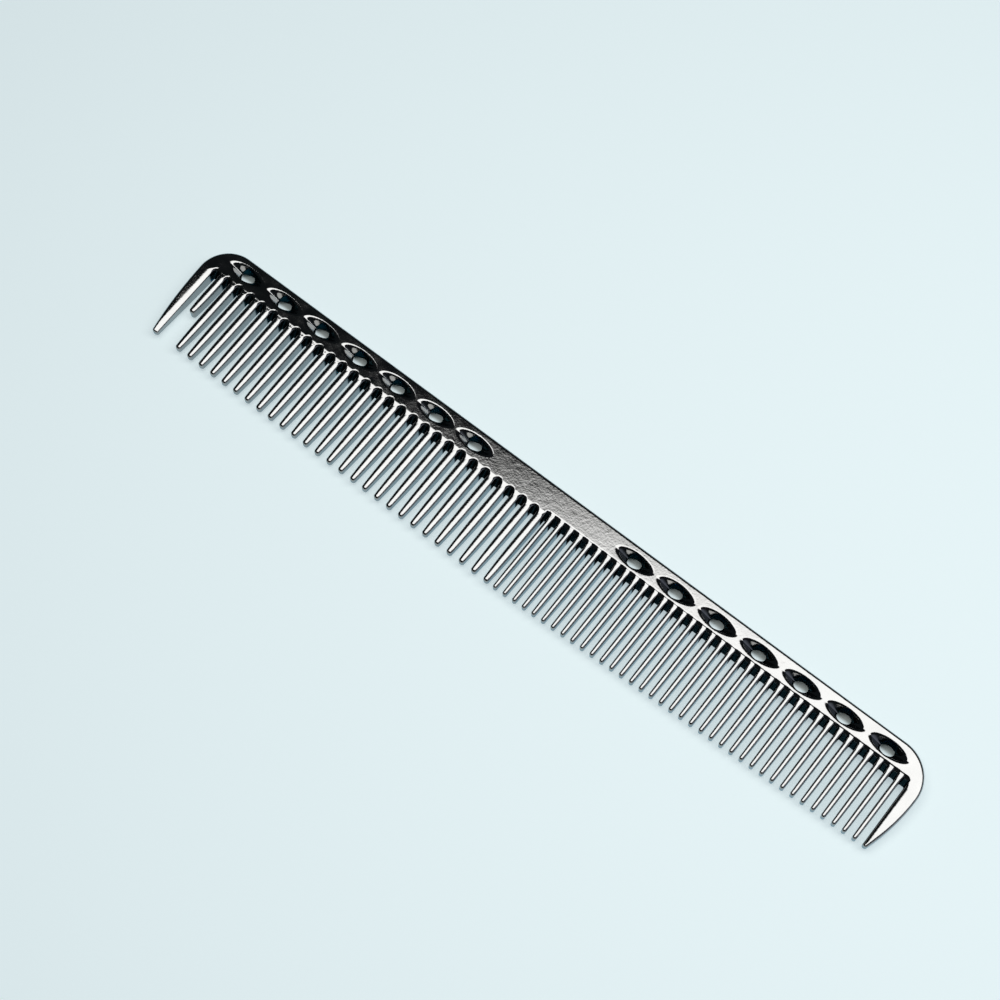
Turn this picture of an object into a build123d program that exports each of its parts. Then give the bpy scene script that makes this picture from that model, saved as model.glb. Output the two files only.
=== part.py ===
"""Barber's cutting comb: one aluminium casting, divided into its named sections.

The comb lies flat on its back face. X runs along the comb from the coarse end to
the fine end, Y runs from the tooth tips to the back of the spine, and Z is the
thickness. The origin is the bottom centre of the comb's box. All sizes are in mm.

The sections meet on flat faces: every tooth stands on a short root that belongs to
the spine, and each end guard meets the spine on an upright plane.
"""

import os
from math import sqrt

from build123d import *

# Overall size
overall_length = 178.0
overall_height = 24.0
spine_thickness = 4.0

half_length = overall_length / 2
back_y = overall_height / 2
mid_z = spine_thickness / 2

# How near two coordinates must be to count as the same
same_place = 0.001

# Side view: a flat bar whose lower edge is a web, thinned like a knife, between the teeth
face_end_y = 6.65
web_edge_y = 4.15
edge_round = 0.5

# Teeth: a wedge from the root plane to the long tips
root_plane_y = 3.9
long_tip_y = -overall_height / 2
short_tip_y = -8.9
root_thickness = 3.6
tip_thickness = 1.9
tip_round = 0.4
shoulder_length = 5.0

coarse_count = 27
coarse_pitch = 3.07
coarse_width = 1.75
coarse_shoulder_width = 1.55
coarse_tip_width = 1.2
first_coarse_x = -80.8

fine_count = 37
fine_pitch = 2.297
fine_width = 1.1
fine_shoulder_width = 1.03
fine_tip_width = 0.9

# The short tooth beside the coarse end guard, used for parting hair
parting_x = -83.77
parting_width = 1.7
parting_shoulder_width = 1.55
parting_tip_width = 1.2
parting_tip_y = -4.3

# Gullets: the arched tops of the gaps between teeth
coarse_gullet_y = 4.75
fine_gullet_y = 5.0

# End guards
coarse_guard_x = -86.05
coarse_guard_corner = 7.05
coarse_guard_tip_width = 1.35
fine_guard_x = 85.7
fine_guard_corner = 7.8
fine_guard_tip_width = 0.85
guard_lean = 0.2
guard_tip_round = 0.4

# Finger pockets: one row on each half of the spine, the same on both faces
pockets_per_row = 7
pocket_pitch = 9.95
pocket_rows_x = -0.4
blank_pitches = 2
pocket_y = 9.0
pocket_length = 8.6
pocket_width = 3.35
pocket_hole_radius = 1.55
keel_depth = 1.6

last_coarse_x = first_coarse_x + (coarse_count - 1) * coarse_pitch
first_fine_x = last_coarse_x + fine_pitch
last_fine_x = first_fine_x + (fine_count - 1) * fine_pitch

coarse_xs = [first_coarse_x + i * coarse_pitch for i in range(coarse_count)]
fine_xs = [first_fine_x + i * fine_pitch for i in range(fine_count)]
pocket_steps = range(blank_pitches, blank_pitches + pockets_per_row)
pocket_xs = [pocket_rows_x + side * step * pocket_pitch for side in (-1, 1) for step in pocket_steps]


def thickness_at(y):
    """Tooth thickness at y, on the straight wedge from the root plane to the long tips."""
    share = (root_plane_y - y) / (root_plane_y - long_tip_y)
    return root_thickness + share * (tip_thickness - root_thickness)


def fine_tip_y(x):
    """The fine tips rise in a straight line towards the fine end."""
    share = (x - first_fine_x) / (last_fine_x - first_fine_x)
    return long_tip_y + share * (short_tip_y - long_tip_y)


def tooth(width, shoulder_width, tip_width, tip_y):
    """A tooth standing at x = 0: rounded ridges, flanks that close in towards a rounded tip."""
    sections = (
        (root_plane_y, width),
        (tip_y + shoulder_length, shoulder_width),
        (tip_y, tip_width),
    )
    with BuildPart() as blank:
        for y, section_width in sections:
            with BuildSketch(Plane.XZ.offset(-y)):
                with Locations((0, mid_z)):
                    SlotOverall(thickness_at(y), section_width, rotation=90)
        loft()
        fillet(blank.faces().sort_by(Axis.Y)[0].edges(), tip_round)
    return blank.part


def root(width):
    """A tooth's root, as wide as the tooth, reaching from the root plane into the bar."""
    with BuildPart() as stub:
        with BuildSketch(Plane.XZ.offset(-root_plane_y)):
            with Locations((0, mid_z)):
                SlotOverall(root_thickness, width, rotation=90)
        extrude(amount=-(face_end_y + edge_round - root_plane_y))
    return stub.part


def gap_cutter(width, top_y):
    """What a gap removes from the web: flat sides and a half-round top."""
    radius = width / 2
    bottom_y = root_plane_y - edge_round
    with BuildPart() as cutter:
        with BuildSketch(Plane.XY):
            with BuildLine():
                Line((-radius, bottom_y), (radius, bottom_y))
                Line((radius, bottom_y), (radius, top_y - radius))
                ThreePointArc((radius, top_y - radius), (0, top_y), (-radius, top_y - radius))
                Line((-radius, top_y - radius), (-radius, bottom_y))
            make_face()
        extrude(amount=spine_thickness)
    return cutter.part


def pocket():
    """One boat-shaped pocket below z = 0: straight keels run down from two pointed ends."""
    half_span = pocket_length / 2
    half_width = pocket_width / 2
    apex_depth = keel_depth * half_span / (half_span - pocket_hole_radius)
    with BuildPart() as boat:
        with BuildSketch(Plane.XY) as mouth:
            with BuildLine():
                ThreePointArc((-half_span, 0), (0, half_width), (half_span, 0))
                ThreePointArc((half_span, 0), (0, -half_width), (-half_span, 0))
            make_face()
        loft(sections=[mouth.sketch.face(), Vertex(0, 0, -apex_depth)], ruled=True)
    return boat.part


def end_outline(root_x, corner, tip_width, tip_y):
    """Outline of one end, from the back of the spine round the guard's square tip to its root."""
    side = 1 if root_x > 0 else -1
    end_x = side * half_length
    tip_inner_x = root_x + side * guard_lean
    tip_outer_x = tip_inner_x + side * tip_width
    diagonal = corner * (1 - 1 / sqrt(2))
    ThreePointArc(
        (end_x - side * corner, back_y),
        (end_x - side * diagonal, back_y - diagonal),
        (end_x, back_y - corner),
    )
    TangentArc((end_x, back_y - corner), (tip_outer_x, tip_y), tangent=(0, -1))
    Line((tip_outer_x, tip_y), (tip_inner_x, tip_y))
    Line((tip_inner_x, tip_y), (root_x, web_edge_y))


def is_back_rim(edge):
    """True for the long edges along the back of the spine. Their rounding runs on round the guards."""
    return all(abs(v.Y - back_y) < same_place for v in edge.vertices())


# Blade: the spine and both end guards in one piece, before it is divided
with BuildPart() as blade:
    with BuildSketch(Plane.XY) as outline:
        with BuildLine():
            Line((coarse_guard_corner - half_length, back_y), (half_length - fine_guard_corner, back_y))
            end_outline(fine_guard_x, fine_guard_corner, fine_guard_tip_width, short_tip_y)
            end_outline(coarse_guard_x, coarse_guard_corner, coarse_guard_tip_width, long_tip_y)
            Line((coarse_guard_x, web_edge_y), (fine_guard_x, web_edge_y))
        make_face()
        tips = outline.vertices().filter_by(lambda v: v.Y < 0)
        fillet(tips, guard_tip_round)
        webs = outline.vertices().filter_by(lambda v: abs(v.Y - web_edge_y) < same_place)
        fillet(webs, guard_tip_round)
    extrude(amount=spine_thickness)
    with BuildSketch(Plane.YZ.offset(-half_length)):
        with BuildLine():
            Polyline(
                (back_y, 0),
                (back_y, spine_thickness),
                (face_end_y, spine_thickness),
                (long_tip_y, mid_z + tip_thickness / 2),
                (long_tip_y, mid_z - tip_thickness / 2),
                (face_end_y, 0),
                close=True,
            )
        make_face()
    extrude(amount=overall_length, mode=Mode.INTERSECT)
    fillet(blade.edges().filter_by(is_back_rim), edge_round)
    with BuildSketch(Plane.YZ.offset(coarse_guard_x)):
        for face_z in (0, spine_thickness):
            with BuildLine():
                Polyline(
                    (face_end_y, face_z),
                    (web_edge_y, mid_z),
                    (long_tip_y, mid_z),
                    (long_tip_y, face_z),
                    close=True,
                )
            make_face()
    extrude(amount=fine_guard_x - coarse_guard_x, mode=Mode.SUBTRACT)

# Spine: the blade between the guards, with roots, gullets and pockets
with BuildPart() as spine:
    add(blade)
    split(bisect_by=Plane.YZ.offset(coarse_guard_x), keep=Keep.TOP)
    split(bisect_by=Plane.YZ.offset(fine_guard_x), keep=Keep.BOTTOM)
    with Locations(*[(x, 0) for x in coarse_xs]):
        add(root(coarse_width))
    with Locations(*[(x, 0) for x in fine_xs]):
        add(root(fine_width))
    with Locations((parting_x, 0)):
        add(root(parting_width))
    coarse_gaps = [x + coarse_pitch / 2 for x in coarse_xs[:-1]]
    with Locations(*[(x, 0) for x in coarse_gaps]):
        add(gap_cutter(coarse_pitch - coarse_width, coarse_gullet_y), mode=Mode.SUBTRACT)
    fine_gaps = [x + fine_pitch / 2 for x in fine_xs[:-1]]
    with Locations(*[(x, 0) for x in fine_gaps]):
        add(gap_cutter(fine_pitch - fine_width, fine_gullet_y), mode=Mode.SUBTRACT)
    with Locations(*[(x, pocket_y, spine_thickness) for x in pocket_xs]):
        add(pocket(), mode=Mode.SUBTRACT)
    with Locations(*[Location((x, pocket_y, 0), (180, 0, 0)) for x in pocket_xs]):
        add(pocket(), mode=Mode.SUBTRACT)
    with Locations(*[(x, pocket_y, mid_z) for x in pocket_xs]):
        Cylinder(pocket_hole_radius, spine_thickness, mode=Mode.SUBTRACT)
spine.part.label = "spine"

with BuildPart() as coarse_teeth:
    with Locations(*[(x, 0) for x in coarse_xs]):
        add(tooth(coarse_width, coarse_shoulder_width, coarse_tip_width, long_tip_y))
coarse_teeth.part.label = "coarse_teeth"

with BuildPart() as fine_teeth:
    for x in fine_xs:
        with Locations((x, 0)):
            add(tooth(fine_width, fine_shoulder_width, fine_tip_width, fine_tip_y(x)))
fine_teeth.part.label = "fine_teeth"

with BuildPart() as parting_tooth:
    with Locations((parting_x, 0)):
        add(tooth(parting_width, parting_shoulder_width, parting_tip_width, parting_tip_y))
parting_tooth.part.label = "parting_tooth"

with BuildPart() as coarse_end_guard:
    add(blade)
    split(bisect_by=Plane.YZ.offset(coarse_guard_x), keep=Keep.BOTTOM)
coarse_end_guard.part.label = "coarse_end_guard"

with BuildPart() as fine_end_guard:
    add(blade)
    split(bisect_by=Plane.YZ.offset(fine_guard_x), keep=Keep.TOP)
fine_end_guard.part.label = "fine_end_guard"

os.makedirs("parts", exist_ok=True)
for section in (spine, coarse_teeth, fine_teeth, parting_tooth, coarse_end_guard, fine_end_guard):
    export_step(section.part, f"parts/{section.part.label}.step")
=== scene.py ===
"""Looks of a barber's comb: smooth cast sections in dark mirror plating, on a pale studio floor.

The spine and both end guards are one field, below zero in metal. It is meshed section by
section and cut flat at the joints. The teeth are swept sections. Shapes are worked out in
millimetres, with z counted from mid-thickness and called w in the fields. new_object()
turns them into metres.
"""

import math

import bmesh
import bpy
import numpy as np
from mathutils import Matrix, Vector


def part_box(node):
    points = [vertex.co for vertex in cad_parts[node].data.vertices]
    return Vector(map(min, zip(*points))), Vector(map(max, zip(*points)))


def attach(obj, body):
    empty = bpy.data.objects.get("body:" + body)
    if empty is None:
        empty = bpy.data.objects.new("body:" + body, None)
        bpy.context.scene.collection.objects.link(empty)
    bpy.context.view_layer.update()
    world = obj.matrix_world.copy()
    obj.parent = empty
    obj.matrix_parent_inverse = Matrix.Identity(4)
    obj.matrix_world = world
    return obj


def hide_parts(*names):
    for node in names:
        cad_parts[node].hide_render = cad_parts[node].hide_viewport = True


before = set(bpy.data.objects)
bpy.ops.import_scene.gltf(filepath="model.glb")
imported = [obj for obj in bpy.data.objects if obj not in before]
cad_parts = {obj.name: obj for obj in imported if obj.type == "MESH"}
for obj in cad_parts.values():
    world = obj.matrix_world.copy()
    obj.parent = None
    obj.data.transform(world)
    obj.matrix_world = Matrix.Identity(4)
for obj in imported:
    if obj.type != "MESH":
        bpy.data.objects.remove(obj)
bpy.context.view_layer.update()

# ------------------------------------------------------------------ sizes, in millimetres
# Section boxes come from the parts in model.glb. The other sizes are the comb's own driving sizes.
MM = 0.001


def box_mm(node):
    low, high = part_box(node)
    return np.array(low) / MM, np.array(high) / MM


SPINE_LOW, SPINE_HIGH = box_mm("spine")
COARSE_LOW, COARSE_HIGH = box_mm("coarse_teeth")
FINE_LOW, FINE_HIGH = box_mm("fine_teeth")
PARTING_LOW, PARTING_HIGH = box_mm("parting_tooth")
FINE_GUARD_LOW, FINE_GUARD_HIGH = box_mm("fine_end_guard")

BACK_Y = SPINE_HIGH[1]
ROOT_Y = SPINE_LOW[1]
MID_Z = (SPINE_LOW[2] + SPINE_HIGH[2]) / 2
HALF_THICK = (SPINE_HIGH[2] - SPINE_LOW[2]) / 2
LEFT_X = box_mm("coarse_end_guard")[0][0]
RIGHT_X = FINE_GUARD_HIGH[0]
LEFT_JOINT_X = SPINE_LOW[0]
RIGHT_JOINT_X = SPINE_HIGH[0]
LONG_TIP_Y = COARSE_LOW[1]
SHORT_TIP_Y = FINE_GUARD_LOW[1]

# Teeth
COARSE_COUNT = 27
FINE_COUNT = 37
COARSE_HALF = 0.875
COARSE_TIP_HALF = 0.55
COARSE_TIP_ROUND = 0.55
FINE_HALF = 0.55
FINE_TIP_HALF = 0.44
FINE_TIP_ROUND = 0.45
PARTING_HALF = 0.85
TIP_HALF_THICK = 0.95
# How far a tip's rounding reaches into the thickness, as a multiple of its rounding in width
TIP_ROUND_IN_THICKNESS = 1.3
# Every ridge is half an ellipse: it falls by this share of the tooth's half width
COARSE_RIDGE_FALL = 0.58
FINE_RIDGE_FALL = 0.85
# Part of the teeth's thinning that is even from root to tip. The rest comes near the tip
EVEN_THINNING = 0.72
# Power of the curves that change little near the root and most near the tip
LATE_CURVE = 3
COARSE_XS = np.linspace(COARSE_LOW[0] + COARSE_HALF, COARSE_HIGH[0] - COARSE_HALF, COARSE_COUNT)
FINE_XS = np.linspace(FINE_LOW[0] + FINE_HALF, FINE_HIGH[0] - FINE_HALF, FINE_COUNT)
PARTING_X = (PARTING_LOW[0] + PARTING_HIGH[0]) / 2
PARTING_TIP_Y = PARTING_LOW[1]

# Gullets: arches between the coarse teeth, nearly square tops between the fine teeth
GULLET_SLOPE = 0.8
COARSE_GULLET_Y = 4.7
FINE_GULLET_Y = 5.0
FINE_GULLET_CORNER = 0.25
# Their rims are small roundings above RIM_END_Y, and widen from there down to the ridges at RIM_START_Y
RIM_START_Y = 4.7
RIM_END_Y = 6.2
RIM_REACH = 0.34
RIM_FALL = 0.26
# The face is flat down to here. It ends in a soft drop into the teeth, a sharper one above the fine teeth
COARSE_FACE_END_Y = 5.7
COARSE_DROP_WIDTH = 1.0
FINE_FACE_END_Y = 6.75
FINE_DROP_WIDTH = 0.55
DROP = 0.12
DROP_FADE = 0.6

# Guards
COARSE_CORNER = 7.05
FINE_CORNER = 7.8
COARSE_TIP_WIDTH = 1.35
FINE_TIP_WIDTH = 0.85
EDGE_REACH = 0.6
EDGE_FALL = 0.55
GUARD_LEAN = 0.2
GUARD_TIP_ROUND = 0.42
SHOULDER_REACH = 1.2
COARSE_SHOULDER_FALL = 0.62
FINE_SHOULDER_FALL = 0.75

# Pockets, in two rows with a plain stretch between them
POCKET_PITCH = 9.95
POCKETS_PER_ROW = 7
BLANK_PITCHES = 2
POCKET_ROWS_X = -0.4
POCKET_Y = 9.0
POCKET_HALF_SPAN = 4.25
POCKET_HALF_WIDTH = 1.5
POCKET_KEEL_DEPTH = 1.75
POCKET_RIM_ROUND = 0.3
# Share of the pointed outline, made of two arcs, in the pocket's mouth. The rest is an ellipse
POINTEDNESS = 0.3
KEEL_ROUND = 0.05
HOLE_RADIUS = 1.5
HOLE_RIM_ROUND = 0.1
POCKET_STEPS = range(BLANK_PITCHES, BLANK_PITCHES + POCKETS_PER_ROW)
POCKET_XS = np.sort([POCKET_ROWS_X + side * k * POCKET_PITCH for side in (-1, 1) for k in POCKET_STEPS])
# How far the arcs' centres lie beyond the pocket's middle line, and how deep the cone's point is
POCKET_ARC_OFFSET = (POCKET_HALF_SPAN**2 - POCKET_HALF_WIDTH**2) / (2 * POCKET_HALF_WIDTH)
POCKET_APEX = POCKET_KEEL_DEPTH * POCKET_HALF_SPAN / (POCKET_HALF_SPAN - HOLE_RADIUS)

# Painted shade in the recesses, inside the holes and on the gullet slopes, which are also hazed rougher:
# where each one begins and over what width it fades
BORE_EDGE = 0.03
BORE_FADE = 0.12
GULLET_EDGE = 0.05
GULLET_FADE = 0.2
ROOT_FADE = 0.6
RIM_EDGE = 0.6 * RIM_FALL
RIM_FADE = 0.4

# Meshing
GRID_STEP = 0.12
GRID_MARGIN = 1.5 * GRID_STEP
LONGEST_MOVE = 0.6 * GRID_STEP
SURFACE_PASSES = 3
SLOPE_REACH = 0.004
LEAST_SLOPE_SQUARED = 0.05
TINY = 1e-9
SLAB_POINTS = 400000
# A section is meshed this far past its joints and then cut there
JOINT_MARGIN = 0.4
RIDGE_POINTS = 25
TIP_RINGS = 9
BODY_RINGS = 16


# ------------------------------------------------------------------ the casting as one field
def round_cut(a, b, radius):
    """Intersection of two fields, its edge rounded to a radius."""
    pa = np.maximum(radius + a, 0)
    pb = np.maximum(radius + b, 0)
    return np.minimum(-radius, np.maximum(a, b)) + np.sqrt(pa * pa + pb * pb)


def oval_cut(a, b, fall, reach):
    """Intersection of two fields, its edge a quarter ellipse: fall deep in a, reach wide in b."""
    na = a / fall
    nb = b / reach
    pa = np.maximum(1 + na, 0)
    pb = np.maximum(1 + nb, 0)
    return (np.minimum(-1, np.maximum(na, nb)) + np.sqrt(pa * pa + pb * pb)) * fall


def smooth_step(t):
    t = np.clip(t, 0, 1)
    return t * t * (3 - 2 * t)


def fine_share(x):
    """0 on the coarse half, 1 on the fine half."""
    return smooth_step((x - COARSE_HIGH[0]) / DROP_FADE)


def face_end(x):
    return COARSE_FACE_END_Y + fine_share(x) * (FINE_FACE_END_Y - COARSE_FACE_END_Y)


def ridge_height(x, y):
    """Half thickness of teeth and guards along their ridges. The teeth start a little below the face."""
    past_left = smooth_step((x - LEFT_JOINT_X) / DROP_FADE)
    before_right = smooth_step((RIGHT_JOINT_X - x) / DROP_FADE)
    end = face_end(x)
    start = HALF_THICK - DROP * (past_left * before_right)
    share = np.clip((end - y) / (end - LONG_TIP_Y), 0, 1)
    thinning = EVEN_THINNING * share + (1 - EVEN_THINNING) * share**LATE_CURVE
    return start + thinning * (TIP_HALF_THICK - start)


def face_height(x, y):
    """Half thickness with the flat face."""
    width = COARSE_DROP_WIDTH + fine_share(x) * (FINE_DROP_WIDTH - COARSE_DROP_WIDTH)
    face = smooth_step((y - face_end(x)) / width + 0.5)
    ridge = ridge_height(x, y)
    return ridge + (HALF_THICK - ridge) * face


def arc_through(x0, y0, x1, y1):
    """Radius of the arc that leaves (x0, y0) straight down and passes (x1, y1)."""
    dx, dy = abs(x1 - x0), abs(y1 - y0)
    return (dx * dx + dy * dy) / (2 * dx)


def outer_edge(x, y):
    """Signed distance from the outline of spine and guards, ignoring tips and gaps."""
    result = y - BACK_Y
    ends = (
        (-1, LEFT_X, COARSE_CORNER, LEFT_JOINT_X - GUARD_LEAN - COARSE_TIP_WIDTH, LONG_TIP_Y),
        (1, RIGHT_X, FINE_CORNER, RIGHT_JOINT_X + GUARD_LEAN + FINE_TIP_WIDTH, SHORT_TIP_Y),
    )
    for side, end_x, corner, tip_x, tip_y in ends:
        corner_y = BACK_Y - corner
        corner_x = end_x - side * corner
        flank = arc_through(end_x, corner_y, tip_x, tip_y)
        above = np.hypot(x - corner_x, y - corner_y) - corner
        below = np.hypot(x - (end_x - side * flank), y - corner_y) - flank
        beyond = side * (x - corner_x) > 0
        result = np.where(beyond, np.where(y > corner_y, above, below), result)
    return result


# Flanks on either side of every gap, from the coarse guard to the fine guard, at the teeth's roots
CENTRES = np.concatenate([[PARTING_X], COARSE_XS, FINE_XS])
HALVES = np.concatenate([[PARTING_HALF], np.full(COARSE_COUNT, COARSE_HALF), np.full(FINE_COUNT, FINE_HALF)])
GAP_LEFT = np.concatenate([[LEFT_JOINT_X], CENTRES + HALVES])
GAP_RIGHT = np.concatenate([CENTRES - HALVES, [RIGHT_JOINT_X]])
GAP_IS_FINE = (GAP_LEFT + GAP_RIGHT) / 2 > COARSE_HIGH[0]
LAST_GAP = len(GAP_LEFT) - 1


def gap_field(x, y, w):
    """Distance into the nearest gap, below zero in metal. Each gap's top rises with |w|."""
    index = np.searchsorted(CENTRES, x, side="right")
    lean = GUARD_LEAN * (BACK_Y - y) / (BACK_Y - LONG_TIP_Y)
    left = np.where(index == 0, LEFT_JOINT_X - lean, GAP_LEFT[index])
    right = np.where(index == LAST_GAP, RIGHT_JOINT_X + lean, GAP_RIGHT[index])
    half = (right - left) / 2
    middle = (right + left) / 2
    fine = GAP_IS_FINE[index]
    top = np.where(fine, FINE_GULLET_Y, COARSE_GULLET_Y) + GULLET_SLOPE * np.abs(w)
    corner = np.where(fine, FINE_GULLET_CORNER, half)
    across = np.abs(x - middle) - (half - corner)
    up = y - (top - corner)
    outside = np.hypot(np.maximum(across, 0), np.maximum(up, 0))
    return corner - outside - np.minimum(np.maximum(across, up), 0)


def nearest_pocket(x):
    middles = (POCKET_XS[1:] + POCKET_XS[:-1]) / 2
    return POCKET_XS[np.searchsorted(middles, x)]


def pocket_field(x, y, w):
    """Distance into a boat-shaped pocket, below zero in metal: a cone on a slightly pointed oval."""
    u = x - nearest_pocket(x)
    v = y - POCKET_Y
    soft_v = np.sqrt(v * v + KEEL_ROUND**2)
    a2 = POCKET_HALF_SPAN**2
    b2 = POCKET_HALF_WIDTH**2
    root = np.sqrt(soft_v**2 * POCKET_ARC_OFFSET**2 + a2 * (u * u + soft_v**2))
    pointed = (soft_v * POCKET_ARC_OFFSET + root) / a2
    oval = np.sqrt(u * u / a2 + soft_v**2 / b2)
    scale = POINTEDNESS * pointed + (1 - POINTEDNESS) * oval
    depth = HALF_THICK - np.abs(w)
    slope_u = POINTEDNESS * u / root + (1 - POINTEDNESS) * u / (a2 * oval)
    pointed_v = (POCKET_ARC_OFFSET + soft_v * (POCKET_ARC_OFFSET**2 + a2) / root) / a2
    slope_v = (POINTEDNESS * pointed_v + (1 - POINTEDNESS) * soft_v / (b2 * oval)) * v / soft_v
    slope = np.sqrt(slope_u**2 + slope_v**2 + 1 / POCKET_APEX**2)
    return (1 - depth / POCKET_APEX - scale) / slope


def ridge_edge(x, y):
    """How far the edge beside a gap falls and reaches: broad on teeth and guards, small on gullet rims."""
    is_fine = x > COARSE_HIGH[0]
    tooth = np.where(is_fine, FINE_HALF, COARSE_HALF)
    tooth_fall = tooth * np.where(is_fine, FINE_RIDGE_FALL, COARSE_RIDGE_FALL)
    coarse_guard = smooth_step((LEFT_JOINT_X - x) / (SHOULDER_REACH / 2))
    fine_guard = smooth_step((x - RIGHT_JOINT_X) / (SHOULDER_REACH / 2) + 1)
    guard = np.maximum(coarse_guard, fine_guard)
    shoulder_fall = np.where(is_fine, FINE_SHOULDER_FALL, COARSE_SHOULDER_FALL)
    reach = tooth + guard * (SHOULDER_REACH - tooth)
    fall = tooth_fall + guard * (shoulder_fall - tooth_fall)
    rim = smooth_step((y - RIM_START_Y) / (RIM_END_Y - RIM_START_Y))
    return fall + rim * (RIM_FALL - fall), reach + rim * (RIM_REACH - reach)


def casting(x, y, w):
    """The whole casting above the root plane, and both guards. Below zero is metal."""
    outer = outer_edge(x, y)
    face = np.abs(w) - face_height(x, y)
    body = oval_cut(face, outer, EDGE_FALL, EDGE_REACH)
    fall, reach = ridge_edge(x, y)
    body = oval_cut(body, gap_field(x, y, w), fall, reach)
    tip = np.where(x < 0, LONG_TIP_Y, SHORT_TIP_Y) - y
    body = round_cut(body, tip, GUARD_TIP_ROUND)
    body = round_cut(body, pocket_field(x, y, w), POCKET_RIM_ROUND)
    hole = HOLE_RADIUS - np.hypot(x - nearest_pocket(x), y - POCKET_Y)
    return round_cut(body, hole, HOLE_RIM_ROUND)


def recess_shade(x, y, w):
    """1 where shade is painted and the haze is rougher: inside the holes and on the gullet slopes. 0
    elsewhere.
    """
    from_hole = np.hypot(x - nearest_pocket(x), y - POCKET_Y) - HOLE_RADIUS
    bore = 1 - smooth_step((from_hole - BORE_EDGE) / BORE_FADE)
    in_gap = 1 - smooth_step((-gap_field(x, y, w) - GULLET_EDGE) / GULLET_FADE)
    high = smooth_step((y - ROOT_Y) / ROOT_FADE)
    under = smooth_step((face_height(x, y) - np.abs(w) - RIM_EDGE) / RIM_FADE)
    return np.maximum(bore, in_gap * high * under)


# ------------------------------------------------------------------ field to mesh
def sample(field, axes):
    """The field's values on a grid, worked out in slabs along x."""
    nx, ny, nz = (len(a) for a in axes)
    values = np.empty((nx, ny, nz), np.float32)
    yy, zz = np.meshgrid(axes[1], axes[2], indexing="ij")
    slab = max(1, SLAB_POINTS // (ny * nz))
    for start in range(0, nx, slab):
        xs = axes[0][start : start + slab]
        values[start : start + slab] = field(xs[:, None, None] + 0 * yy, yy[None], zz[None] + 0 * yy)
    return values


def crossed_cells(metal):
    """The cells that the surface passes through, and a grid that holds each one's number."""
    nx, ny, nz = metal.shape
    count = np.zeros((nx - 1, ny - 1, nz - 1), np.int8)
    for i in (0, 1):
        for j in (0, 1):
            for k in (0, 1):
                count += metal[i : nx - 1 + i, j : ny - 1 + j, k : nz - 1 + k]
    active = (count > 0) & (count < 8)
    cells = np.argwhere(active)
    number = np.full(active.shape, -1, np.int64)
    number[active] = np.arange(len(cells))
    return cells, number


def cell_points(values, cells):
    """One point per cell, in grid steps: the mean of where the surface crosses the cell's edges."""
    points = np.zeros((len(cells), 3))
    hits = np.zeros(len(cells))
    for axis in range(3):
        others = [a for a in range(3) if a != axis]
        for p in (0, 1):
            for q in (0, 1):
                a = cells.copy()
                a[:, others[0]] += p
                a[:, others[1]] += q
                b = a.copy()
                b[:, axis] += 1
                va = values[tuple(a.T)]
                vb = values[tuple(b.T)]
                crossed = (va < 0) != (vb < 0)
                t = np.where(crossed, va / np.where(crossed, va - vb, 1), 0)
                spot = a.astype(float)
                spot[:, axis] += t
                points[crossed] += spot[crossed]
                hits[crossed] += 1
    return points / hits[:, None]


def cell_quads(metal, number):
    """A quad between the four cells round every grid edge that the surface crosses, facing outwards."""
    quads = []
    for axis in range(3):
        u, v = [a for a in range(3) if a != axis]
        first = [slice(1, -1)] * 3
        second = [slice(1, -1)] * 3
        first[axis] = slice(0, -1)
        second[axis] = slice(1, None)
        starts = metal[tuple(first)]
        ends = metal[tuple(second)]
        crossed = np.argwhere(starts != ends)
        leaves_metal = starts[tuple(crossed.T)]
        cell = crossed + 1
        cell[:, axis] -= 1
        corners = []
        for du, dv in ((0, 0), (-1, 0), (-1, -1), (0, -1)):
            c = cell.copy()
            c[:, u] += du
            c[:, v] += dv
            corners.append(number[tuple(c.T)])
        quad = np.stack(corners, 1)
        backwards = leaves_metal if axis == 1 else ~leaves_metal
        quad[backwards] = quad[backwards][:, ::-1]
        quads.append(quad)
    return np.concatenate(quads)


def surface_net(field, low, high):
    """Points and quads on the zero surface of a field, one point per crossed cell."""
    axes = [np.arange(a - GRID_MARGIN, b + GRID_MARGIN, GRID_STEP) for a, b in zip(low, high)]
    values = sample(field, axes)
    metal = values < 0
    cells, number = crossed_cells(metal)
    origin = np.array([a[0] for a in axes])
    points = origin + cell_points(values, cells) * GRID_STEP
    for _ in range(SURFACE_PASSES):
        points = onto_surface(field, points)
    return points, cell_quads(metal, number)


def gradient(field, points):
    parts = []
    for axis in range(3):
        plus = points.copy()
        minus = points.copy()
        plus[:, axis] += SLOPE_REACH
        minus[:, axis] -= SLOPE_REACH
        parts.append((field(*plus.T) - field(*minus.T)) / (2 * SLOPE_REACH))
    return np.stack(parts, 1)


def onto_surface(field, points):
    """Moves points onto the zero surface, along the field's slope."""
    slope = gradient(field, points)
    size = np.maximum((slope * slope).sum(1), LEAST_SLOPE_SQUARED)
    move = -(field(*points.T) / size)[:, None] * slope
    far = np.linalg.norm(move, axis=1)
    move *= np.minimum(1, LONGEST_MOVE / np.maximum(far, TINY))[:, None]
    return points + move


def new_object(name, points, faces):
    """A smooth-shaded object from points in millimetres, z counted from mid-thickness."""
    mesh = bpy.data.meshes.new(name)
    points = np.asarray(points) + np.array([0, 0, MID_Z])
    mesh.from_pydata((points * MM).tolist(), [], [list(map(int, f)) for f in faces])
    mesh.validate()
    piece = bpy.data.objects.new(name, mesh)
    bpy.context.scene.collection.objects.link(piece)
    mesh.polygons.foreach_set("use_smooth", [True] * len(mesh.polygons))
    return piece


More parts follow.
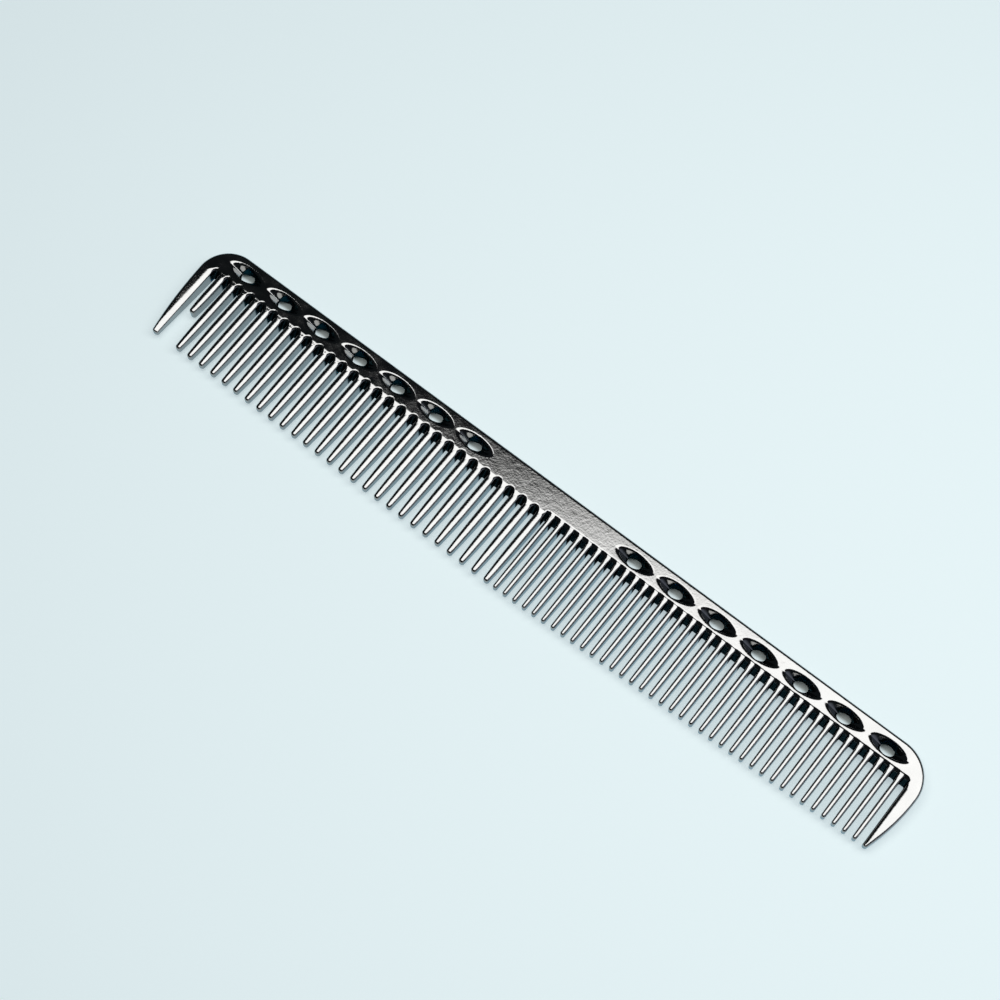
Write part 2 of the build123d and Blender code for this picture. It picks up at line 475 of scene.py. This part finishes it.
def trim(piece, plane_point, plane_normal):
    """Cuts away what lies on the normal's side of a plane, and closes the cut with flat faces."""
    bm = bmesh.new()
    bm.from_mesh(piece.data)
    cut = bmesh.ops.bisect_plane(
        bm,
        geom=bm.verts[:] + bm.edges[:] + bm.faces[:],
        dist=TINY,
        plane_co=Vector(plane_point) * MM,
        plane_no=Vector(plane_normal),
        clear_outer=True,
    )
    rim = [e for e in cut["geom_cut"] if isinstance(e, bmesh.types.BMEdge)]
    caps = bmesh.ops.holes_fill(bm, edges=rim, sides=0)["faces"]
    for face in caps:
        face.smooth = False
    for edge in rim:
        edge.smooth = False
    bm.to_mesh(piece.data)
    bm.free()


def smooth_normals(mesh, where):
    """Shades the casting by the field's own slope. The flat cuts keep their flat faces."""
    slope = gradient(casting, where)
    slope /= np.linalg.norm(slope, axis=1)[:, None]
    corners = np.empty(len(mesh.loops), np.int32)
    mesh.loops.foreach_get("vertex_index", corners)
    normals = slope[corners]
    for face in mesh.polygons:
        if not face.use_smooth:
            normals[face.loop_start : face.loop_start + face.loop_total] = face.normal
    mesh.normals_split_custom_set(normals.tolist())


def field_piece(name, low, high, cuts):
    """One section of the casting: meshed between low and high, cut at its joints, with its mask of painted
    shade in the recesses.
    """
    points, quads = surface_net(casting, low, high)
    piece = new_object(name, points, quads)
    for point, normal in cuts:
        trim(piece, point, normal)
    mesh = piece.data
    where = np.empty(len(mesh.vertices) * 3, np.float32)
    mesh.vertices.foreach_get("co", where)
    where = where.reshape(-1, 3) / MM - np.array([0, 0, MID_Z])
    shade_mask = mesh.attributes.new("recess_shade", "FLOAT", "POINT")
    shade_mask.data.foreach_set("value", recess_shade(*where.T).astype(np.float32))
    smooth_normals(mesh, where)
    return piece


# ------------------------------------------------------------------ teeth as swept sections
def fine_tip(x):
    """The fine tips rise in a straight line towards the fine end."""
    share = (x - FINE_XS[0]) / (FINE_XS[-1] - FINE_XS[0])
    return LONG_TIP_Y + share * (SHORT_TIP_Y - LONG_TIP_Y)


def tooth_half(root_half, tip_half, left, length):
    """Half width of a tooth that narrows in a curve, where so much of its length is left."""
    share = np.clip(1 - left / length, 0, 1)
    return root_half - (root_half - tip_half) * share**LATE_CURVE


def ring_points(half, thick, fall):
    """A tooth's section: straight flanks between two half ellipses, anticlockwise."""
    fall = min(fall, thick)
    arcs = []
    for level in (1, -1):
        angle = np.linspace(0, math.pi, RIDGE_POINTS) + (0 if level > 0 else math.pi)
        xs = half * np.cos(angle)
        zs = level * (thick - fall) + fall * np.sin(angle)
        arcs.append(np.column_stack([xs, zs]))
    return np.vstack(arcs)


def tooth_rings(x, half, tip_half, tip_y, tip_round):
    """Rings from the root plane to just short of the tip."""
    ridge_fall = FINE_RIDGE_FALL if x > COARSE_HIGH[0] else COARSE_RIDGE_FALL
    length = ROOT_Y - tip_y
    body = np.linspace(0, length - tip_round, BODY_RINGS)
    angles = np.linspace(0, math.pi / 2, TIP_RINGS + 1)[1:-1]
    tips = length - tip_round + tip_round * np.sin(angles)
    rings = []
    for d in np.concatenate([body, tips]):
        left = length - d
        a = tooth_half(half, tip_half, left, length)
        b = ridge_height(x, ROOT_Y - d)
        if left < tip_round:
            shrink = math.sqrt(max(0.0, 1 - ((tip_round - left) / tip_round) ** 2))
            a *= shrink
            b *= 1 - (1 - shrink) * min(1.0, TIP_ROUND_IN_THICKNESS * tip_round / b)
        section = ring_points(a, b, a * ridge_fall)
        rings.append(np.column_stack([x + section[:, 0], np.full(len(section), ROOT_Y - d), section[:, 1]]))
    return rings


def teeth_piece(name, teeth):
    """Teeth of one row as one object, each closed by a flat root and a fan at its tip."""
    points = []
    faces = []
    root_faces = []
    for x, half, tip_half, tip_y, tip_round in teeth:
        rings = tooth_rings(x, half, tip_half, tip_y, tip_round)
        base = len(points)
        n = len(rings[0])
        for ring in rings:
            points.extend(ring.tolist())
        for r in range(len(rings) - 1):
            a = base + r * n
            for i in range(n):
                j = (i + 1) % n
                faces.append((a + i, a + j, a + n + j, a + n + i))
        root_faces.append(len(faces))
        faces.append(tuple(base + i for i in reversed(range(n))))
        last = base + (len(rings) - 1) * n
        tip = len(points)
        points.append([x, tip_y, 0.0])
        for i in range(n):
            faces.append((last + i, last + (i + 1) % n, tip))
    piece = new_object(name, points, faces)
    bm = bmesh.new()
    bm.from_mesh(piece.data)
    bm.faces.ensure_lookup_table()
    for index in root_faces:
        bm.faces[index].smooth = False
        for edge in bm.faces[index].edges:
            edge.smooth = False
    bmesh.ops.recalc_face_normals(bm, faces=bm.faces[:])
    bm.to_mesh(piece.data)
    bm.free()
    return piece


# ------------------------------------------------------------------ materials
# Plating: polished stretches and slightly hazed ones, mottled by noise
POLISHED_TONE = (0.31, 0.31, 0.305, 1)
HAZED_TONE = (0.37, 0.37, 0.362, 1)
TONE_NOISE = (260, 3)
POLISHED_ROUGHNESS = 0.05
HAZED_ROUGHNESS = 0.13
HAZE_NOISE = (420, 4)
HAZE_START = 0.35
HAZE_END = 0.7
# Painted shade: the recesses are darkened to a dark teal and hazed rougher
RECESS_SHADE_TONE = (0.03, 0.07, 0.085, 1)
RECESS_ROUGHNESS = 0.3
# Tint at glancing angles: the plating stays darker there than bare metal. In the recesses the tint is
# painted shade, nearly black, so they reflect almost nothing.
PLATING_EDGE = (0.6, 0.75, 0.85, 1)
RECESS_SHADE_EDGE = (0.03, 0.05, 0.06, 1)
# Unevenness of the polished casting, coarse swells and a finer peel: noise, height in metres, strength
SWELL = ((750, 2), 0.00003, 0.35)
PEEL = ((2600, 2), 0.00002, 0.5)

# Board, in metres. Its glow is painted fill light that lightens the shadows; it grows along +X, over the
# span on either side of the middle
FLOOR_TONE = (0.60, 0.67, 0.65, 1)
FLOOR_ROUGHNESS = 0.7
FLOOR_GLOW_TONE = (0.80, 0.94, 1.0, 1)
FLOOR_GLOW_LOW = 0.46
FLOOR_GLOW_HIGH = 0.55
FLOOR_GLOW_SPAN = 0.25
# Painted shadow: it doesn't glow where the spine lies on it, so the holes are dark towards the back
SHADE_Y = 0.0106
SHADE_HALF_WIDTH = 0.0019
SHADE_HALF_LENGTH = 0.083
SHADE_FADE = 0.001


def node_material(name):
    material = bpy.data.materials.new(name)
    material.use_nodes = True
    nodes = material.node_tree.nodes
    nodes.clear()
    return material, nodes, material.node_tree.links


def plated_metal():
    """Mirror plating over a polished casting: faint orange peel, hazier in the recesses and darkened there
    by painted shade.
    """
    material, nodes, links = node_material("plated_casting")
    output = nodes.new("ShaderNodeOutputMaterial")
    shader = nodes.new("ShaderNodeBsdfPrincipled")
    place = nodes.new("ShaderNodeTexCoord")
    shade_mask = nodes.new("ShaderNodeAttribute")
    shade_mask.attribute_name = "recess_shade"
    links.new(shader.outputs["BSDF"], output.inputs["Surface"])
    shader.inputs["Metallic"].default_value = 1.0

    def noise(scale, detail):
        node = nodes.new("ShaderNodeTexNoise")
        node.inputs["Scale"].default_value = scale
        node.inputs["Detail"].default_value = detail
        links.new(place.outputs["Object"], node.inputs["Vector"])
        return node.outputs["Fac"]

    def ramp(source, start, end, low, high):
        node = nodes.new("ShaderNodeMapRange")
        node.inputs["From Min"].default_value = start
        node.inputs["From Max"].default_value = end
        node.inputs["To Min"].default_value = low
        node.inputs["To Max"].default_value = high
        links.new(source, node.inputs["Value"])
        return node.outputs["Result"]

    def blend(kind, factor, low, high):
        node = nodes.new("ShaderNodeMix")
        node.data_type = kind
        links.new(factor, node.inputs["Factor"])
        sockets = [i for i in node.inputs if i.enabled and i.name in ("A", "B")]
        for socket, value in zip(sockets, (low, high)):
            if isinstance(value, bpy.types.NodeSocket):
                links.new(value, socket)
            else:
                socket.default_value = value
        return next(o for o in node.outputs if o.enabled)

    def bump(pattern, height, strength):
        node = nodes.new("ShaderNodeBump")
        node.inputs["Distance"].default_value = height
        node.inputs["Strength"].default_value = strength
        links.new(noise(*pattern), node.inputs["Height"])
        return node

    tone = blend("RGBA", noise(*TONE_NOISE), POLISHED_TONE, HAZED_TONE)
    # Painted shade: the mask darkens the plating to a dark teal inside the holes and on the gullet slopes
    color = blend("RGBA", shade_mask.outputs["Fac"], tone, RECESS_SHADE_TONE)
    links.new(color, shader.inputs["Base Color"])

    # Painted shade: the mask dims the glancing reflections in the same places
    edge = blend("RGBA", shade_mask.outputs["Fac"], PLATING_EDGE, RECESS_SHADE_EDGE)
    links.new(edge, shader.inputs["Specular Tint"])

    gloss = ramp(noise(*HAZE_NOISE), HAZE_START, HAZE_END, POLISHED_ROUGHNESS, HAZED_ROUGHNESS)
    rough = blend("FLOAT", shade_mask.outputs["Fac"], gloss, RECESS_ROUGHNESS)
    links.new(rough, shader.inputs["Roughness"])

    swell = bump(*SWELL)
    peel = bump(*PEEL)
    links.new(swell.outputs["Normal"], peel.inputs["Normal"])
    links.new(peel.outputs["Normal"], shader.inputs["Normal"])
    return material


def floor_paint():
    """Pale matt board. Its glow is painted fill light, not a lamp: it keeps the shadows in the gaps light.
    """
    material, nodes, links = node_material("floor")
    output = nodes.new("ShaderNodeOutputMaterial")
    shader = nodes.new("ShaderNodeBsdfPrincipled")
    links.new(shader.outputs["BSDF"], output.inputs["Surface"])
    shader.inputs["Base Color"].default_value = FLOOR_TONE
    shader.inputs["Roughness"].default_value = FLOOR_ROUGHNESS
    shader.inputs["Emission Color"].default_value = FLOOR_GLOW_TONE
    place = nodes.new("ShaderNodeTexCoord")
    parts = nodes.new("ShaderNodeSeparateXYZ")
    glow = nodes.new("ShaderNodeMapRange")
    glow.inputs["From Min"].default_value = -FLOOR_GLOW_SPAN
    glow.inputs["From Max"].default_value = FLOOR_GLOW_SPAN
    glow.inputs["To Min"].default_value = FLOOR_GLOW_LOW
    glow.inputs["To Max"].default_value = FLOOR_GLOW_HIGH
    links.new(place.outputs["Object"], parts.inputs["Vector"])
    links.new(parts.outputs["X"], glow.inputs["Value"])

    def maths(operation, first, second=None):
        node = nodes.new("ShaderNodeMath")
        node.operation = operation
        links.new(first, node.inputs[0])
        if isinstance(second, bpy.types.NodeSocket):
            links.new(second, node.inputs[1])
        elif second is not None:
            node.inputs[1].default_value = second
        return node.outputs["Value"]

    def outside(source, centre, half):
        """0 within half of the centre, 1 beyond it."""
        edge = nodes.new("ShaderNodeMapRange")
        edge.interpolation_type = "SMOOTHSTEP"
        edge.inputs["From Min"].default_value = half - SHADE_FADE
        edge.inputs["From Max"].default_value = half
        links.new(maths("ABSOLUTE", maths("SUBTRACT", source, centre)), edge.inputs["Value"])
        return edge.outputs["Result"]

    # Painted shadow: no glow in a strip under the spine
    beyond_y = outside(parts.outputs["Y"], SHADE_Y, SHADE_HALF_WIDTH)
    beyond_x = outside(parts.outputs["X"], 0, SHADE_HALF_LENGTH)
    clear = maths("MAXIMUM", beyond_y, beyond_x)
    strength = maths("MULTIPLY", glow.outputs["Result"], clear)
    links.new(strength, shader.inputs["Emission Strength"])
    return material


# ------------------------------------------------------------------ build
spine = field_piece(
    "spine_casting",
    (LEFT_JOINT_X - JOINT_MARGIN, ROOT_Y - JOINT_MARGIN, -HALF_THICK),
    (RIGHT_JOINT_X + JOINT_MARGIN, BACK_Y, HALF_THICK),
    [((LEFT_JOINT_X, 0, 0), (-1, 0, 0)), ((RIGHT_JOINT_X, 0, 0), (1, 0, 0)), ((0, ROOT_Y, 0), (0, -1, 0))],
)
coarse_guard = field_piece(
    "coarse_end_guard_casting",
    (LEFT_X, LONG_TIP_Y, -HALF_THICK),
    (LEFT_JOINT_X + JOINT_MARGIN, BACK_Y, HALF_THICK),
    [((LEFT_JOINT_X, 0, 0), (1, 0, 0))],
)
fine_guard = field_piece(
    "fine_end_guard_casting",
    (RIGHT_JOINT_X - JOINT_MARGIN, SHORT_TIP_Y, -HALF_THICK),
    (RIGHT_X, BACK_Y, HALF_THICK),
    [((RIGHT_JOINT_X, 0, 0), (-1, 0, 0))],
)
coarse_teeth = teeth_piece(
    "coarse_teeth_casting",
    [(x, COARSE_HALF, COARSE_TIP_HALF, LONG_TIP_Y, COARSE_TIP_ROUND) for x in COARSE_XS],
)
fine_teeth = teeth_piece(
    "fine_teeth_casting",
    [(x, FINE_HALF, FINE_TIP_HALF, fine_tip(x), FINE_TIP_ROUND) for x in FINE_XS],
)
parting_tooth = teeth_piece(
    "parting_tooth_casting",
    [(PARTING_X, PARTING_HALF, COARSE_TIP_HALF, PARTING_TIP_Y, COARSE_TIP_ROUND)],
)

stand_ins = (
    (spine, "spine"),
    (coarse_guard, "coarse_end_guard"),
    (fine_guard, "fine_end_guard"),
    (coarse_teeth, "coarse_teeth"),
    (fine_teeth, "fine_teeth"),
    (parting_tooth, "parting_tooth"),
)
plating = plated_metal()
for piece, node in stand_ins:
    piece.data.materials.append(plating)
    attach(piece, "root")
    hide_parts(node)

# ------------------------------------------------------------------ stage, in metres
FLOOR_HALF = 3.0

floor_corners = [(x * FLOOR_HALF, y * FLOOR_HALF, 0) for x, y in ((-1, -1), (1, -1), (1, 1), (-1, 1))]
floor_mesh = bpy.data.meshes.new("floor")
floor_mesh.from_pydata(floor_corners, [], [(0, 1, 2, 3)])
floor_mesh.materials.append(floor_paint())
floor = bpy.data.objects.new("floor", floor_mesh)
bpy.context.scene.collection.objects.link(floor)

# The studio: one near softbox, turned a little, whose back edge fades out, and a dim room.
# The mirror finish takes its dark and its bright half from that edge.
SOFTBOX_PLACE = (0.090, 0.088, 0.44)
SOFTBOX_TURN = math.atan(0.5)
SOFTBOX_SIZE = (0.66, 0.296)
SOFTBOX_FADE = 0.065
SOFTBOX_FADE_POWER = 0.6
SOFTBOX_RADIANCE = 2.8

# The room is nearly black. The wall starts and ends at these cosines of the angle from +X
ROOM_TONE = (0.012, 0.015, 0.017, 1)
WALL_TONE = (0.22, 0.24, 0.30, 1)
WALL_START = 0.5
WALL_END = 0.95


def softbox():
    data = bpy.data.lights.new("softbox", "AREA")
    data.shape = "RECTANGLE"
    data.size, data.size_y = SOFTBOX_SIZE
    data.energy = SOFTBOX_RADIANCE * math.pi * SOFTBOX_SIZE[0] * SOFTBOX_SIZE[1]
    lamp = bpy.data.objects.new("softbox", data)
    bpy.context.scene.collection.objects.link(lamp)
    lamp.location = SOFTBOX_PLACE
    lamp.rotation_euler = (0, 0, SOFTBOX_TURN)
    data.use_nodes = True
    nodes = data.node_tree.nodes
    links = data.node_tree.links
    geometry = nodes.new("ShaderNodeNewGeometry")
    parts = nodes.new("ShaderNodeSeparateXYZ")
    fade = nodes.new("ShaderNodeMapRange")
    fade.interpolation_type = "SMOOTHSTEP"
    fade.inputs["From Min"].default_value = 1.0
    fade.inputs["From Max"].default_value = 1.0 - SOFTBOX_FADE / SOFTBOX_SIZE[1]
    curve = nodes.new("ShaderNodeMath")
    curve.operation = "POWER"
    curve.inputs[1].default_value = SOFTBOX_FADE_POWER
    links.new(geometry.outputs["Parametric"], parts.inputs["Vector"])
    links.new(parts.outputs["Y"], fade.inputs["Value"])
    links.new(fade.outputs["Result"], curve.inputs[0])
    links.new(curve.outputs["Value"], nodes["Emission"].inputs["Strength"])


def room():
    """A dim room: nearly black, with a cool grey wall beyond the fine end."""
    world = bpy.data.worlds.new("studio")
    world.use_nodes = True
    nodes = world.node_tree.nodes
    links = world.node_tree.links
    place = nodes.new("ShaderNodeTexCoord")
    parts = nodes.new("ShaderNodeSeparateXYZ")
    ramp = nodes.new("ShaderNodeMapRange")
    ramp.interpolation_type = "SMOOTHSTEP"
    ramp.inputs["From Min"].default_value = WALL_START
    ramp.inputs["From Max"].default_value = WALL_END
    tone = nodes.new("ShaderNodeMix")
    tone.data_type = "RGBA"
    sockets = [i for i in tone.inputs if i.enabled and i.name in ("A", "B")]
    sockets[0].default_value = ROOM_TONE
    sockets[1].default_value = WALL_TONE
    links.new(place.outputs["Generated"], parts.inputs["Vector"])
    links.new(parts.outputs["X"], ramp.inputs["Value"])
    links.new(ramp.outputs["Result"], tone.inputs["Factor"])
    links.new(next(o for o in tone.outputs if o.enabled), nodes["Background"].inputs["Color"])
    return world


softbox()
bpy.context.scene.world = room()

# The camera looks down on the comb, a little from its tooth side and its fine end
CAMERA_PLACE = Vector((0.0904, -0.1110, 0.4012))
VIEW_DIRECTION = Vector((-0.2334, 0.2674, -0.9349)).normalized()
VIEW_UP = Vector((-0.5797, 0.7336, 0.3546))
SENSOR_WIDTH = 36
FOCAL_LENGTH = 78.2

camera_data = bpy.data.cameras.new("camera")
camera_data.sensor_width = SENSOR_WIDTH
camera_data.lens = FOCAL_LENGTH
camera = bpy.data.objects.new("camera", camera_data)
bpy.context.scene.collection.objects.link(camera)
right = VIEW_DIRECTION.cross(VIEW_UP).normalized()
up = right.cross(VIEW_DIRECTION)
turn = Matrix((right, up, -VIEW_DIRECTION)).transposed()
camera.matrix_world = Matrix.Translation(CAMERA_PLACE) @ turn.to_4x4()
bpy.context.scene.camera = camera

bpy.context.scene.view_settings.view_transform = "Standard"
